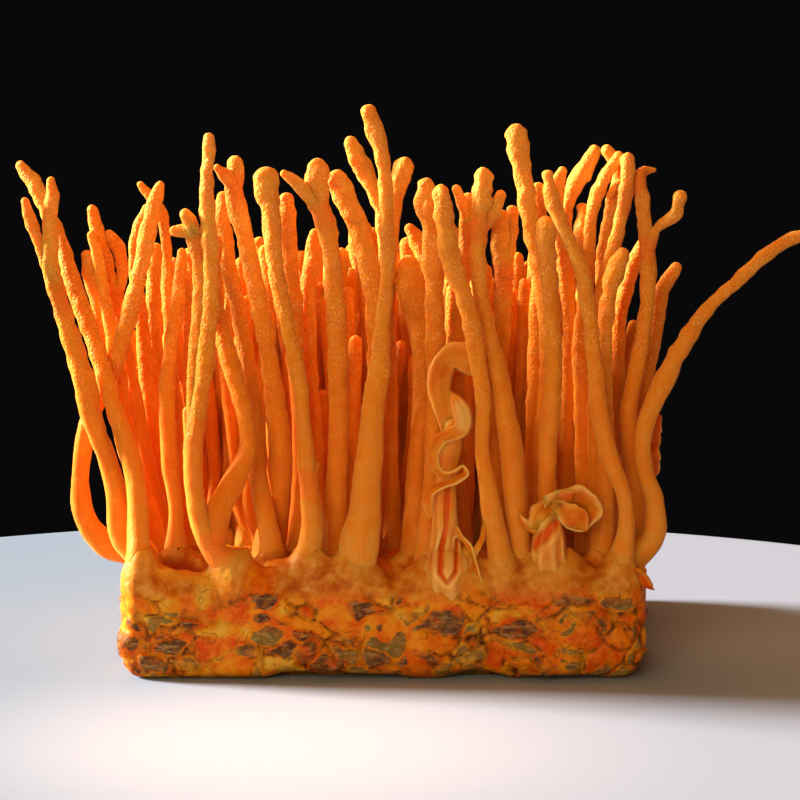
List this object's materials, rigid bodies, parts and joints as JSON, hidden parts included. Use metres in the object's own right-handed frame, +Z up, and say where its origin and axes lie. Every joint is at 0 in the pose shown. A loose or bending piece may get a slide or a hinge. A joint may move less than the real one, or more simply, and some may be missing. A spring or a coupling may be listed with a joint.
{
  "type": "cordyceps bunch",
  "caption": "Bunch of orange club-shaped cordyceps stems, some forked, looped or curled, growing from a rectangular block of mycelium-covered grain.",
  "frame": {"origin": "centre of the grain block's flat underside", "axes": "+Z up, -Y towards the front that the tallest stems lean to, +X to the right seen from the front"},
  "size_m": [0.1378, 0.0818, 0.0987],
  "materials": {
    "block": "mottled orange and yellow mycelium skin over dark grains",
    "stem": "satin orange skin, finely grained, paler towards the foot"
  },
  "bodies": {
    "root": {"antler_stem": "stem", "arch_tip_stem": "stem", "arching_stem": "stem", "back_tuft_01": "stem", "back_tuft_02": "stem", "back_tuft_03": "stem", "back_tuft_04": "stem", "back_tuft_05": "stem", "back_tuft_06": "stem", "back_tuft_07": "stem", "back_tuft_08": "stem", "back_tuft_09": "stem", "back_tuft_10": "stem", "back_tuft_11": "stem", "back_tuft_12": "stem", "back_tuft_13": "stem", "back_tuft_14": "stem", "back_tuft_15": "stem", "broad_tip_stem": "stem", "crossed_tip_stem": "stem", "curled_stem": "stem", "dome_stem": "stem", "fan_stem_1": "stem", "fan_stem_2": "stem", "fan_stem_3": "stem", "fan_stem_4": "stem", "fork_stem_1": "stem", "fork_stem_2": "stem", "forked_behind_tallest": "stem", "frilled_stem": "stem", "front_bowed_stem": "stem", "front_broad_stem": "stem", "grain_block": "block", "high_club_stem": "stem", "hooked_side_stem": "stem", "inner_stem_1": "stem", "inner_stem_2": "stem", "inner_stem_3": "stem", "inner_stem_4": "stem", "inner_stem_5": "stem", "leaf_tip_stem": "stem", "leaning_stem_1": "stem", "left_forked_stem": "stem", "left_outer_stem": "stem", "lobed_stem": "stem", "long_bowed_stem": "stem", "loop_stem": "stem", "paired_tip_stem": "stem", "pale_tip_stem": "stem", "right_club_stem": "stem", "right_split_stem": "stem", "right_tip_stem": "stem", "ruffled_stem": "stem", "short_club_stem": "stem", "short_stem_1": "stem", "short_stem_2": "stem", "side_forked_stem": "stem", "stout_stem": "stem", "tall_left_stem": "stem", "tallest_stem": "stem"}
  },
  "joints": []
}
